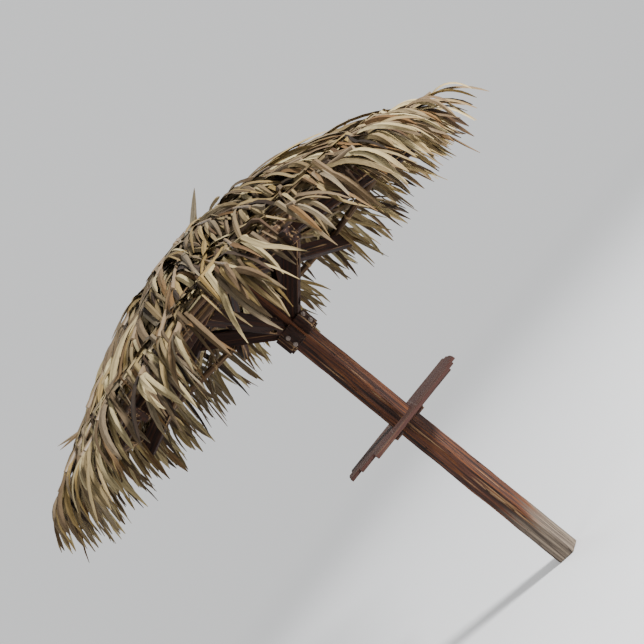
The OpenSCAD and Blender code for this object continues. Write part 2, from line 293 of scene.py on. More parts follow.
def frond_lines(bundle, rng):
    """Midrib lines of one bundle's fronds: their points from butt to tip, and their leaf length."""
    lines = []
    for layer, (count, start, end, height, leaf) in enumerate(LAYERS):
        for i in range(count):
            place = (i + 0.5 + STAGGER * (-1) ** layer) / count - 0.5
            azimuth = BAY * (bundle + place + rng.uniform(-TURN_SPREAD, TURN_SPREAD))
            bow = rng.uniform(-BOW_SPREAD, BOW_SPREAD)
            far = end * rng.uniform(*FAR_SHARES) * reach(azimuth) / REACH["right"]
            points = []
            for k in range(LINE_STEPS + 1):
                share = k / LINE_STEPS
                r = start + (far - start) * share
                a = azimuth + bow * share**2
                rise = height + ARCH * math.sin(math.pi * share) - DROOP * share
                low = thatch_under(r) + LOWEST_LINE
                z = low + (thatch_over(r, a) - low) * rise
                points.append((r * math.cos(a), r * math.sin(a), z))
            lines.append((points, leaf * rng.uniform(*LEAF_SHARES)))
    return lines


BUTTS = 30  # cut butts over the apex
BUTT_STEPS = 8  # along a butt's line
BUTT_GAP = 0.004  # between the thatch and the lowest butts
LIFT_RADIUS = 0.5  # butts lift off the thatch within this distance of the post's axis


def crown_lines(rng):
    """Short cut butts that lie crossed over the apex."""
    lines = []
    for _ in range(BUTTS):
        heading = rng.uniform(0, math.tau)
        length = rng.uniform(0.20, 0.42)
        side = rng.uniform(-0.13, 0.13)
        back = rng.uniform(0.02, 0.20)
        lift = rng.uniform(-0.012, 0.060)
        points = []
        for k in range(BUTT_STEPS + 1):
            s = length * k / BUTT_STEPS - back
            x = s * math.cos(heading) - side * math.sin(heading)
            y = s * math.sin(heading) + side * math.cos(heading)
            r = math.hypot(x, y)
            z = thatch_over(r, 0.0) + lift * (1 - r / LIFT_RADIUS) + BUTT_GAP
            points.append((x, y, z))
        lines.append((points, rng.uniform(0.16, 0.30)))
    return lines


def line_mesh(name, lines):
    """A mesh of loose edges along the lines, with each frond's leaf length on its points."""
    points, edges, lengths = [], [], []
    for line, leaf in lines:
        first = len(points)
        points += line
        edges += [(first + i, first + i + 1) for i in range(len(line) - 1)]
        lengths += [leaf] * len(line)
    mesh = bpy.data.meshes.new(name)
    mesh.from_pydata(points, edges, [])
    keep(mesh, "leaf_length", lengths)
    return mesh


# One leaf's own values and their ranges; the order sets each one's seed
LEAF_RANGES = {
    "comb_more": (-0.20, 0.20),  # turn from the midrib, radians
    "lift_more": (-0.05, 0.30),  # start above the frond, radians
    "long_share": (0.78, 1.12),
    "bend_share": (0.70, 1.45),
    "curl": (-0.16, 0.16),  # sideways drift at the tip, in leaf lengths
    "twist": (-1.5, 1.5),
    "roll": (-0.5, 0.5),
    "wide_share": (0.72, 1.18),
    "rest_lift": (0.0, 0.085),  # height of the fronds that it lies on
    "tint": (0.0, 1.0),
    "age": (0.0, 1.0),
}

# What all fronds share. Angles are in radians, and a pair of radii from the post's axis is where
# a change begins and where it is complete.
MIDRIB_SIDES, MIDRIB_FLATNESS, MIDRIB_TIP = 7, 0.62, 0.18  # depth to width, and tip to butt
COMB_BUTT, COMB_TIP = 0.90, 0.20  # a leaf's turn from its midrib, at the frond's two ends
# Places along a frond, and the share of the leaf length there
LENGTH_SHARES = [(0.0, 0.45), (0.25, 0.90), (0.60, 1.00), (0.85, 0.82), (1.0, 0.52)]
BEND_RADII, RIM_BEND = (0.55, 1.25), 1.50  # leaves bend more and more towards the rim
TORN_RADII = (0.85, 1.30)  # more and more of them are torn out
SHORT_RADII = (0.90, 1.50)  # where "Hang Share" shortens them
HANGING = 1.42  # the steepest that a leaf hangs
REST_GAP, RIM_DROP = 0.006, 9.0  # resting height over the purlins, and its slope past the rim
LEAF_POINTS, LEAF_SIDES = 9, 4
LEAF_FOLD = math.radians(26.0)  # each half of a blade falls this much from its ridge
BASE_SHARE, BASE_GROWTH = 0.34, 5.0  # width at the base, and how fast it grows to the full one
TIP_POWER, TIP_LEAST, TIP_ROUND = 6.5, 0.04, 0.6  # full nearly to the end, then a blunt point


def add_leaf_blank(tree):
    """A unit leaf along X: a closed strip with four sides, crisp along its length."""
    line = node(tree, "GeometryNodeCurvePrimitiveLine", (0, 0, 0), (1, 0, 0))
    line = node(tree, "GeometryNodeResampleCurve", line, None, LEAF_POINTS)
    ring = node(tree, "GeometryNodeCurvePrimitiveCircle", LEAF_SIDES, 1.0)
    strip = node(tree, "GeometryNodeCurveToMesh", line, ring, named={"Fill Caps": True})
    split = node(tree, SPLIT, node(tree, "GeometryNodeInputPosition"))
    for key, output in (("leaf_u", "X"), ("leaf_v", "Y"), ("leaf_w", "Z")):
        strip = node(tree, STORE, strip, None, key, split.outputs[output])
    ends = node(tree, "GeometryNodeInputMeshEdgeVertices")
    run = node(tree, VECTOR, ends.outputs["Position 1"], ends.outputs["Position 2"],
               operation="SUBTRACT")
    run = node(tree, MATH, node(tree, SPLIT, run).outputs["X"], operation="ABSOLUTE")
    along = node(tree, MATH, run, 0.01, operation="GREATER_THAN")
    return node(tree, "GeometryNodeSetShadeSmooth", strip, along, False, domain="EDGE")


def add_midribs(tree, given, lines):
    """Midribs on the lines, which taper to the tip and are wider than deep."""
    thin = node(tree, MAP, node(tree, READ, "along"), 0.0, 1.0, 1.0, MIDRIB_TIP)
    rib = node(tree, "GeometryNodeSetCurveRadius", lines, None, thin)
    half_rib = node(tree, TIMES, given["Midrib Width"], 0.5)
    section = node(tree, "GeometryNodeCurvePrimitiveCircle", MIDRIB_SIDES, half_rib)
    section = node(tree, "GeometryNodeTransform", section,
                   named={"Scale": (MIDRIB_FLATNESS, 1.0, 1.0)})
    rib = node(tree, "GeometryNodeSetCurveNormal", rib, mode="Z_UP")
    rib = node(tree, "GeometryNodeCurveToMesh", rib, section, named={"Fill Caps": True})
    return node(tree, "GeometryNodeSetMaterial", rib, None, given["Midrib Material"])


def from_axis(tree, place):
    """How far a place lies from the post's axis."""
    xyz = node(tree, SPLIT, place)
    flat = node(tree, COMBINE, xyz.outputs["X"], xyz.outputs["Y"], 0.0)
    return node(tree, VECTOR, flat, operation="LENGTH").outputs["Value"]


def add_leaf_starts(tree, given, lines):
    """Where leaves start: two at every point of a line, one on each side, with their own values."""
    points = node(tree, "GeometryNodeCurveToPoints", lines, mode="EVALUATED")
    pairs = node(tree, "GeometryNodeDuplicateElements", points.outputs["Points"], None, 2,
                 domain="POINT")
    side = node(tree, TIMES_PLUS, pairs.outputs["Duplicate Index"], 2.0, -1.0)
    leaves = node(tree, STORE, pairs.outputs["Geometry"], None, "side", side)
    place = node(tree, "GeometryNodeInputPosition")
    leaves = node(tree, STORE_VECTOR, leaves, None, "base", place)
    number = node(tree, "GeometryNodeInputIndex")
    for salt, (key, (low, high)) in enumerate(LEAF_RANGES.items()):
        seed = node(tree, TIMES_PLUS, given["Seed"], float(len(LEAF_RANGES)), float(salt))
        value = node(tree, "FunctionNodeRandomValue", low, high, number, seed, data_type="FLOAT")
        leaves = node(tree, STORE, leaves, None, key, value.outputs[1])

    # The wind has torn leaves out of the rim, where light comes through
    base_r = from_axis(tree, node(tree, READ_VECTOR, "base"))
    lost = node(tree, MAP, base_r, *TORN_RADII, 0.0, given["Rim Gaps"])
    torn = node(tree, "FunctionNodeRandomValue", 0.0, 1.0, number, given["Seed"], data_type="FLOAT")
    torn = node(tree, "FunctionNodeCompare", torn.outputs[1], lost, operation="LESS_THAN")
    return node(tree, "GeometryNodeDeleteGeometry", leaves, torn, domain="POINT")


def comb_leaves(tree, leaves):
    """Stores each leaf's level heading and its lift, combed from the midrib towards the tip."""
    run = node(tree, READ_VECTOR, "run")
    across = node(tree, VECTOR, run, (0, 0, 1), operation="CROSS_PRODUCT")
    across = node(tree, VECTOR, across, operation="NORMALIZE")
    across = node(tree, SCALED, across, node(tree, READ, "side"))
    comb = node(tree, MAP, node(tree, READ, "along"), 0.0, 1.0, COMB_BUTT, COMB_TIP)
    comb = node(tree, PLUS, comb, node(tree, READ, "comb_more"))
    comb_cos = node(tree, MATH, comb, operation="COSINE")
    comb_sin = node(tree, MATH, comb, operation="SINE")
    forward = node(tree, SCALED, run, comb_cos)
    outward = node(tree, SCALED, across, comb_sin)
    first = node(tree, VECTOR_PLUS, forward, outward)
    first = node(tree, SPLIT, node(tree, VECTOR, first, operation="NORMALIZE"))
    level = node(tree, COMBINE, first.outputs["X"], first.outputs["Y"], 0.0)
    level = node(tree, VECTOR, level, operation="NORMALIZE")
    lift = node(tree, MATH, first.outputs["Z"], operation="ARCSINE")
    lift = node(tree, PLUS, lift, node(tree, READ, "lift_more"))
    leaves = node(tree, STORE, leaves, None, "lift", lift)
    return node(tree, STORE_VECTOR, leaves, None, "level", level)


def size_leaves(tree, given, leaves):
    """Stores each leaf's length, bend and width.

    It is long in the middle of a frond and short at its ends, and bends most near the rim.
    """
    base_r = from_axis(tree, node(tree, READ_VECTOR, "base"))
    shape = node(tree, "ShaderNodeFloatCurve", 1.0, node(tree, READ, "along"))
    knots = shape.mapping.curves[0].points
    knots[0].location = LENGTH_SHARES[0]
    knots[1].location = LENGTH_SHARES[-1]
    for spot in LENGTH_SHARES[1:-1]:
        knots.new(*spot)
    shape.mapping.update()
    long = node(tree, TIMES, node(tree, READ, "leaf_length"), shape)
    long = node(tree, TIMES, long, node(tree, READ, "long_share"))
    shorter = node(tree, MAP, base_r, *SHORT_RADII, 1.0, given["Hang Share"])
    long = node(tree, TIMES, long, shorter)
    rimward = node(tree, MAP, base_r, *BEND_RADII, interpolation_type="SMOOTHSTEP")
    bend = node(tree, MAP, rimward, 0.0, 1.0, given["Lowest Bend"], RIM_BEND)
    bend = node(tree, TIMES, bend, node(tree, READ, "bend_share"))
    wide = node(tree, READ, "wide_share")
    wide = node(tree, TIMES, given["Leaf Width"], wide)
    for key, value in (("long", long), ("bend", bend), ("wide", wide)):
        leaves = node(tree, STORE, leaves, None, key, value)
    return leaves


def bend_leaves(tree, given):
    """Each leaf bends down in its own upright plane at an even rate until it hangs.

    Returns the place on its middle line, and the directions sideways and up off the blade there.
    """
    u = node(tree, READ, "leaf_u")
    lift, bend, long = (node(tree, READ, key) for key in ("lift", "bend", "long"))
    u_hang = node(tree, PLUS, lift, HANGING)
    u_hang = node(tree, MATH, u_hang, bend, operation="DIVIDE")
    u_bent = node(tree, MATH, u, u_hang, operation="MINIMUM")
    u_straight = node(tree, MINUS, u, u_bent)
    angle = node(tree, TIMES, bend, u_bent)
    angle = node(tree, MINUS, lift, angle)
    sin_now = node(tree, MATH, angle, operation="SINE")
    cos_now = node(tree, MATH, angle, operation="COSINE")
    sin_first = node(tree, MATH, lift, operation="SINE")
    cos_first = node(tree, MATH, lift, operation="COSINE")
    out = node(tree, MINUS, sin_first, sin_now)
    up = node(tree, MINUS, cos_now, cos_first)
    reaches = []
    for start, pull in ((out, cos_now), (up, sin_now)):
        start = node(tree, MATH, start, bend, operation="DIVIDE")
        start = node(tree, TIMES_PLUS, u_straight, pull, start)
        reaches.append(node(tree, TIMES, start, long))
    level = node(tree, READ_VECTOR, "level")
    sideways = node(tree, VECTOR, (0, 0, 1), level, operation="CROSS_PRODUCT")
    drift = node(tree, TIMES, u, u)
    drift = node(tree, TIMES, drift, node(tree, READ, "curl"))
    drift = node(tree, TIMES, drift, long)
    spine = node(tree, READ_VECTOR, "base")
    for direction, amount in ((level, reaches[0]), (sideways, drift)):
        part = node(tree, SCALED, direction, amount)
        spine = node(tree, VECTOR_PLUS, spine, part)
    spine = node(tree, VECTOR_PLUS, spine, node(tree, COMBINE, 0.0, 0.0, reaches[1]))

    # Inside the rim it lies on the fronds below it
    r = from_axis(tree, spine)
    floor = node(tree, TIMES_PLUS, r, -RAFTER_SLOPE, PURLIN_TOP + REST_GAP)
    floor = node(tree, PLUS, floor, node(tree, READ, "rest_lift"))
    past = node(tree, MINUS, r, given["Rim Radius"])
    past = node(tree, MATH, past, 0.0, operation="MAXIMUM")
    floor = node(tree, TIMES_PLUS, past, -RIM_DROP, floor)
    spine_xyz = node(tree, SPLIT, spine)
    lifted = node(tree, MATH, spine_xyz.outputs["Z"], floor, operation="MAXIMUM")
    spine = node(tree, COMBINE, spine_xyz.outputs["X"], spine_xyz.outputs["Y"], lifted)

    down = node(tree, TIMES, sin_now, -1.0)
    upward = node(tree, SCALED, level, down)
    upward = node(tree, VECTOR_PLUS, upward, node(tree, COMBINE, 0.0, 0.0, cos_now))
    return spine, sideways, upward


def fold_blades(tree, given, spine, sideways, upward):
    """The blade is folded like a roof, tapers to a blunt tip and twists along its length."""
    u, v, w = (node(tree, READ, key) for key in ("leaf_u", "leaf_v", "leaf_w"))
    turn = node(tree, TIMES_PLUS, node(tree, READ, "twist"), u, node(tree, READ, "roll"))
    ahead = node(tree, VECTOR, sideways, upward, operation="CROSS_PRODUCT")
    wing = node(tree, "ShaderNodeVectorRotate", sideways, None, ahead, turn)
    ridge = node(tree, "ShaderNodeVectorRotate", upward, None, ahead, turn)
    grow = node(tree, TIMES_PLUS, u, BASE_GROWTH, BASE_SHARE)
    grow = node(tree, MATH, grow, 1.0, operation="MINIMUM")
    taper = node(tree, MATH, u, TIP_POWER, operation="POWER")
    taper = node(tree, MINUS, 1.0, taper)
    taper = node(tree, MATH, taper, TIP_LEAST, operation="MAXIMUM")
    taper = node(tree, MATH, taper, TIP_ROUND, operation="POWER")
    half = node(tree, TIMES, grow, taper)
    half = node(tree, TIMES, half, node(tree, READ, "wide"))
    half = node(tree, TIMES, half, 0.5)
    wing_step = node(tree, TIMES, half, v)
    wing_step = node(tree, TIMES, wing_step, math.cos(LEAF_FOLD))
    drop = node(tree, MATH, v, operation="ABSOLUTE")
    drop = node(tree, TIMES, drop, half)
    drop = node(tree, TIMES, drop, -math.sin(LEAF_FOLD))
    ridge_step = node(tree, TIMES_PLUS, w, given["Leaf Thickness"], drop)
    spot = spine
    for direction, amount in ((wing, wing_step), (ridge, ridge_step)):
        part = node(tree, SCALED, direction, amount)
        spot = node(tree, VECTOR_PLUS, spot, part)
    return spot


def frond_tree():
    """Geometry nodes: each line becomes a midrib with two rows of leaflets that droop and curl."""
    tree, given = new_tree("palm fronds", {
        "Leaf Spacing": 0.040, "Leaf Width": 0.037, "Leaf Thickness": 0.0012, "Rim Radius": 1.30,
        "Midrib Width": 0.030, "Hang Share": 1.0, "Lowest Bend": 0.75, "Rim Gaps": 0.50,
        "Seed": 1.0,
    }, [("Leaf Material", "NodeSocketMaterial"), ("Midrib Material", "NodeSocketMaterial")])
    lines = node(tree, "GeometryNodeMeshToCurve", given["Geometry"])
    lines = node(tree, "GeometryNodeResampleCurve", lines, None, given["Leaf Spacing"],
                 mode="LENGTH")
    share = node(tree, "GeometryNodeSplineParameter").outputs["Factor"]
    lines = node(tree, STORE, lines, None, "along", share)
    tangent = node(tree, "GeometryNodeInputTangent")
    lines = node(tree, STORE_VECTOR, lines, None, "run", tangent)
    ribs = add_midribs(tree, given, lines)

    leaves = add_leaf_starts(tree, given, lines)
    leaves = comb_leaves(tree, leaves)
    leaves = size_leaves(tree, given, leaves)
    strips = node(tree, "GeometryNodeInstanceOnPoints", leaves, None, add_leaf_blank(tree))
    strips = node(tree, "GeometryNodeRealizeInstances", strips)
    spot = fold_blades(tree, given, *bend_leaves(tree, given))
    strips = node(tree, "GeometryNodeSetPosition", strips, None, spot)
    strips = node(tree, "GeometryNodeSetMaterial", strips, None, given["Leaf Material"])

    # Everything leans with the canopy about the middle of the post's top
    whole = node(tree, "GeometryNodeJoinGeometry", strips)
    fill(tree, whole.inputs[0], ribs)
    leaned = node(tree, "GeometryNodeTransform", whole,
                  named={"Translation": (0, 0, POST_TOP), "Rotation": (0, LEAN, 0)})
    node(tree, "NodeGroupOutput", leaned)
    return tree


def leaf_material(name, tints, rust, greying):
    """A dried leaflet: each has faded to its own straw, olive, grey or rust, with fibres along it.

    The fine fibres catch the light as streaks, and the fold in the middle is darkened with painted
    shade.
    tints are the leaflets' colours, rust is how brown their tips are, and greying how grey they
    are at the crown.
    """
    made, tree = new_material(name)
    tint = node(tree, ATTRIBUTE, attribute_name="tint").outputs["Fac"]
    age = node(tree, ATTRIBUTE, attribute_name="age").outputs["Fac"]
    u = node(tree, ATTRIBUTE, attribute_name="leaf_u").outputs["Fac"]
    v = node(tree, ATTRIBUTE, attribute_name="leaf_v").outputs["Fac"]
    colour = node(tree, RAMP, tint, stops=tints)
    # Grey where it has weathered longest, round the crown
    place = node(tree, "ShaderNodeTexCoord").outputs["Object"]
    grey = node(tree, MAP, from_axis(tree, place), 0.10, 0.95, greying, 0.0)
    grey = node(tree, TIMES, grey, age)
    colour = node(tree, MIX, grey, colour, linear("#85806E"))
    # Rust brown towards the tips, most on the side that the sun burns
    sunny = node(tree, SPLIT, place).outputs["X"]
    sunny = node(tree, MAP, sunny, -0.8, 1.5, 0.25 * rust, rust)
    tip = node(tree, MATH, u, 1.6, operation="POWER")
    burnt = node(tree, TIMES, tip, sunny)
    burnt = node(tree, TIMES, burnt, age)
    colour = node(tree, MIX, burnt, colour, linear("#6A4820"))
    # Blotches of mould and dust change it from place to place
    blotch = node(tree, NOISE, place, None, 5.0, 3.0, 0.6)
    shade = node(tree, MAP, blotch.outputs["Fac"], 0.35, 0.68, 0.50, 0.78)
    # Fibres two or three millimetres apart, and other ones on a leaf of another tint
    grain = node(tree, COMBINE, u, v, tint)
    grain = node(tree, STRETCHED, grain, (5.0, 7.0, 90.0))
    fibre = node(tree, NOISE, grain, None, 1.0, 3.0, 0.6).outputs["Fac"]
    streak = node(tree, MAP, fibre, 0.3, 0.7, 0.60, 1.12)
    # Painted shade: the fold down the middle of each leaflet is darkened
    fold_shade = node(tree, MATH, v, operation="ABSOLUTE")
    fold_shade = node(tree, MAP, fold_shade, 0.0, 0.35, 0.66, 1.0)
    shade = node(tree, TIMES, shade, streak)
    shade = node(tree, TIMES, shade, fold_shade)
    colour = node(tree, MIX, 1.0, colour, shade, blend_type="MULTIPLY")
    bump = node(tree, "ShaderNodeBump", 0.4, named={"Distance": 0.002, "Height": fibre})
    return dress(made, {"Base Color": colour, "Normal": bump, "Roughness": 0.85,
                        "Specular IOR Level": 0.14})


def midrib_material():
    """A frond's dried stalk: woody and smooth, tan with dark weathered streaks."""
    made, tree = new_material("dried palm midrib")
    place = node(tree, "ShaderNodeTexCoord").outputs["Object"]
    streak = node(tree, NOISE, place, None, 34.0, 3.0, 0.6)
    colour = node(tree, RAMP, streak, stops=[
        (0.30, "#3A2D22"), (0.48, "#5F4E39"), (0.60, "#7C6A4C"), (0.75, "#96865F"),
    ])
    return dress(made, {"Base Color": colour, "Roughness": 0.55})


MIDRIB = midrib_material()
LEAF = leaf_material("dried coconut palm leaf", [
    (0.00, "#BFAB7E"), (0.10, "#C8B78A"), (0.20, "#A08550"), (0.30, "#A8946C"), (0.42, "#84714F"),
    (0.54, "#8E8068"), (0.66, "#6E5A42"), (0.76, "#7A6B54"), (0.86, "#7E5E38"), (0.93, "#4C4036"),
    (1.00, "#302822"),
], 0.65, 0.80)
BUTT = leaf_material("weathered palm butt", [
    (0.00, "#97907C"), (0.25, "#6F6854"), (0.50, "#A59D84"), (0.75, "#544C3C"), (1.00, "#332D24"),
], 0.20, 0.7)
FRONDS = frond_tree()

# The front bundle's leaves are broken to this share of their length, which shows the hub
BROKEN_SHORT = {7: 0.78}
# Seeds for the lines of the bundles, for the lines of the crown, and for the crown's leaves
LINE_SEED, CROWN_LINE_SEED, CROWN_SEED = 100, 77, 60.0
for number in range(1, BAYS + 1):
    lines = frond_lines(number - 1, random.Random(LINE_SEED + number))
    mesh = line_mesh(f"frond_lines_{number}", lines)
    piece = made_by_nodes(f"palm_fronds_{number}", mesh, FRONDS, {
        "Seed": float(number), "Leaf Material": LEAF, "Midrib Material": MIDRIB,
        "Hang Share": BROKEN_SHORT.get(number, 1.0),
    })
    hand_over(piece, "dried_palm_leaf", f"frond_bundle_{number}")

mesh = line_mesh("crown_lines", crown_lines(random.Random(CROWN_LINE_SEED)))
piece = made_by_nodes("crown_butts", mesh, FRONDS, {
    "Seed": CROWN_SEED, "Leaf Material": BUTT, "Midrib Material": MIDRIB, "Leaf Spacing": 0.055,
    "Leaf Width": 0.032, "Midrib Width": 0.034, "Lowest Bend": 1.2, "Rim Gaps": 0.0,
})
hand_over(piece, "frond_butts", "crown_knot")


# A blade's section, as shares of its half width: left edge, ridge, right edge and crease below
BLADE_SECTION = [(-1, -0.45), (0, 0.12), (1, -0.45), (0, -0.04)]
BLADE_ROWS = 10
BLADE_SAG = 0.10  # how far a blade's tip curves to its ridge side, as a share of its length
BLADE_FACING = Vector((0.25, -1.0, 0.1))  # where the ridges face


def blade_mesh(name, blades):
    """Stiff leaves that stick up: each is a closed folded blade, from base, direction and size."""
    tilt = Matrix.Rotation(LEAN, 3, "Y")
    points, faces, u_values, v_values, tints = [], [], [], [], []
    sides = len(BLADE_SECTION)
    for base, direction, length, width, tint in blades:
        ahead = Vector(direction).normalized()
        wing = ahead.cross(BLADE_FACING).normalized()
        ridge = wing.cross(ahead)
        first = len(points)
        for k in range(BLADE_ROWS + 1):
            u = k / BLADE_ROWS
            # Widest a fifth of the way up, then tapering to a point
            half = width / 2 * min(1.0, 0.55 + 2.5 * u) * max(0.03, 1 - u**2.2) ** 0.8
            sag = ridge * (BLADE_SAG * length * u * u)
            middle = Vector(base) + ahead * (length * u) + sag
            for v, h in BLADE_SECTION:
                spot = tilt @ (middle + wing * (half * v) + ridge * (half * h))
                points.append(spot + Vector((0, 0, POST_TOP)))
                u_values.append(u)
                v_values.append(float(v))
                tints.append(tint)
        for k in range(BLADE_ROWS):
            row = first + sides * k
            for i in range(sides):
                a, b = row + i, row + (i + 1) % sides
                faces.append((a, b, b + sides, a + sides))
        faces.append(tuple(reversed(range(first, first + sides))))
        last = first + sides * BLADE_ROWS
        faces.append(tuple(range(last, last + sides)))
    mesh = bpy.data.meshes.new(name)
    mesh.from_pydata(points, [], faces)
    ages = [0.5] * len(points)
    for key, values in (("leaf_u", u_values), ("leaf_v", v_values), ("tint", tints), ("age", ages)):
        keep(mesh, key, values)
    mesh.materials.append(LEAF)
    return mesh


# Base above the post's top, direction, length, width and tint: three at the apex, then strays
BLADES = [
    ((0.01, -0.03, 0.205), (0.78, -0.08, 0.64), 0.300, 0.044, 0.54),
    ((0.03, -0.05, 0.200), (0.55, -0.20, 0.42), 0.150, 0.030, 0.32),
    ((-0.02, 0.03, 0.205), (-0.35, 0.30, 0.45), 0.110, 0.028, 0.70),
    ((-1.14, -0.10, -0.060), (-0.90, -0.10, 0.20), 0.180, 0.020, 0.60),
    ((-1.12, -0.16, -0.065), (-0.90, -0.05, 0.06), 0.190, 0.018, 0.80),
    ((0.66, -0.08, 0.070), (0.85, -0.05, 0.26), 0.170, 0.020, 0.93),
    ((0.92, -0.10, -0.020), (0.88, -0.02, 0.12), 0.180, 0.018, 0.90),
    ((0.30, 0.80, 0.040), (0.20, 0.85, 0.25), 0.200, 0.020, 0.70),
]
piece = bpy.data.objects.new("stiff_leaves", blade_mesh("stiff_leaves", BLADES))
bpy.context.collection.objects.link(piece)
hand_over(piece, "dried_palm_leaf", "spike_leaf")


# ---------------------------------------------------------------- timber

WELD = 1e-5
FLAT_ANGLE = math.radians(0.5)  # faces nearer in angle than this are one face before the cuts
ARRIS_ANGLES = (0.35, 0.60)  # radians at which an edge starts to be an arris, and fully is one
FRAY_DEPTH = 0.03  # how far from a timber's end its fibres fray
GRAIN_SHIFT = 40.0  # how far apart two pieces' places in the grain can be


def gridded(name, axes, step, fine, rng):
    """A copy of a node's mesh cut into a grid along its grain, with where each point lies in it.

    axes holds the grain's direction and the two directions across it as columns. Each point
    keeps "grain", its place along and across the grain with a shift of the piece's own, "end",
    its distance from the nearer end, and "inward", the way from that end to the middle.
    """
    bm = bmesh.new()
    bm.from_mesh(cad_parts[name].data)
    bmesh.ops.remove_doubles(bm, verts=bm.verts, dist=WELD)
    bmesh.ops.dissolve_limit(bm, angle_limit=FLAT_ANGLE, verts=bm.verts, edges=bm.edges)
    along, *sideways = (Vector(column) for column in axes.col)
    spans = []
    for axis, pitch in ((along, step), (sideways[0], fine), (sideways[1], fine)):
        places = [axis.dot(vertex.co) for vertex in bm.verts]
        low, high = min(places), max(places)
        spans.append((low, high))
        count = max(1, round((high - low) / pitch))
        cuts = [low + (high - low) * i / count for i in range(1, count)]
        edge = fine / 3  # a narrow strip along each arris takes its wear
        for place in [low + edge, *cuts, high - edge]:
            bmesh.ops.bisect_plane(bm, geom=bm.verts[:] + bm.edges[:] + bm.faces[:], dist=WELD,
                                   plane_co=axis * place, plane_no=axis)
    bmesh.ops.recalc_face_normals(bm, faces=bm.faces)
    mesh = bpy.data.meshes.new(name + "_grid")
    bm.to_mesh(mesh)
    bm.free()
    low, high = spans[0]
    middles = [(a + b) / 2 for a, b in spans]
    shift = Vector([rng.uniform(0, GRAIN_SHIFT) for _ in range(3)])
    grain, ends, inward = [], [], []
    for vertex in mesh.vertices:
        place = Vector([axis.dot(vertex.co) - middle
                        for axis, middle in zip((along, *sideways), middles)])
        grain += list(place + shift)
        ends.append((high - low) / 2 - abs(place.x))
        inward += list(along * (-1 if place.x > 0 else 1))
    for key, values in (("grain", grain), ("end", ends), ("inward", inward)):
        keep(mesh, key, values)
    return mesh


def timber_tree():
    """Geometry nodes: raises the grain, rounds and chips the arrises and frays the ends."""
    tree, given = new_tree("weathered timber", {
        "Ridge Depth": 0.0008, "Ridge Pitch": 70.0, "Sway": 0.003, "Wear": 0.004, "Fray": 0.004,
    }, [("Wood", "NodeSocketMaterial")])
    # Ridges along the grain, and a slow sway of whole faces
    grain = node(tree, READ_VECTOR, "grain")
    across = node(tree, COMBINE, 3.0, given["Ridge Pitch"], given["Ridge Pitch"])
    fine = node(tree, STRETCHED, grain, across)
    ridge = node(tree, NOISE, fine, None, 1.0, 3.0, 0.55)
    ridge = node(tree, MAP, ridge.outputs[0], 0.3, 0.7, -1.0, 1.0)
    ridge = node(tree, TIMES, ridge, given["Ridge Depth"])
    broad = node(tree, STRETCHED, grain, (1.3, 5.0, 5.0))
    sway = node(tree, NOISE, broad, None, 1.0, 1.0, 0.5)
    sway = node(tree, MAP, sway.outputs[0], 0.3, 0.7, -0.5, 0.5)
    sway = node(tree, TIMES, sway, given["Sway"])

    # A point on an arris has two sharp edges and two flat ones, so their mean is doubled
    angle = node(tree, "GeometryNodeInputMeshEdgeAngle").outputs["Unsigned Angle"]
    arris = node(tree, MAP, angle, *ARRIS_ANGLES, 0.0, 2.0)
    body = node(tree, STORE, given["Geometry"], None, "arris", arris)
    arris = node(tree, READ, "arris")
    # Worn off a little everywhere and most in nicks of a few centimetres
    nicks = node(tree, STRETCHED, grain, (9.0, 30.0, 30.0))
    nicks = node(tree, NOISE, nicks, None, 1.0, 3.0, 0.6)
    nicks = node(tree, MAP, nicks.outputs[0], 0.46, 0.72, 0.25, 1.0)
    wear = node(tree, TIMES, arris, nicks)
    wear = node(tree, TIMES, wear, given["Wear"])
    push = node(tree, PLUS, ridge, sway)
    push = node(tree, MINUS, push, wear)
    normal = node(tree, "GeometryNodeInputNormal")
    move = node(tree, SCALED, normal, push)

    near_end = node(tree, MAP, node(tree, READ, "end"), 0.0, FRAY_DEPTH, 1.0, 0.0)
    fibres = node(tree, STRETCHED, grain, (0.0, 60.0, 60.0))
    fibres = node(tree, NOISE, fibres, None, 1.0, 3.0, 0.6)
    fray = node(tree, TIMES, near_end, fibres.outputs[0])
    fray = node(tree, TIMES, fray, given["Fray"])
    inward = node(tree, READ_VECTOR, "inward")
    frayed = node(tree, SCALED, inward, fray)
    move = node(tree, VECTOR_PLUS, move, frayed)
    up = node(tree, SPLIT, node(tree, "GeometryNodeInputNormal")).outputs["Z"]
    body = node(tree, STORE, body, None, "up", up)
    body = node(tree, "GeometryNodeSetPosition", body, None, None, move)
    sharp = node(tree, MATH, angle, ARRIS_ANGLES[1], operation="GREATER_THAN")
    body = node(tree, "GeometryNodeSetShadeSmooth", body, sharp, False, domain="EDGE")
    body = node(tree, "GeometryNodeSetMaterial", body, None, given["Wood"])
    node(tree, "NodeGroupOutput", body)
    return tree


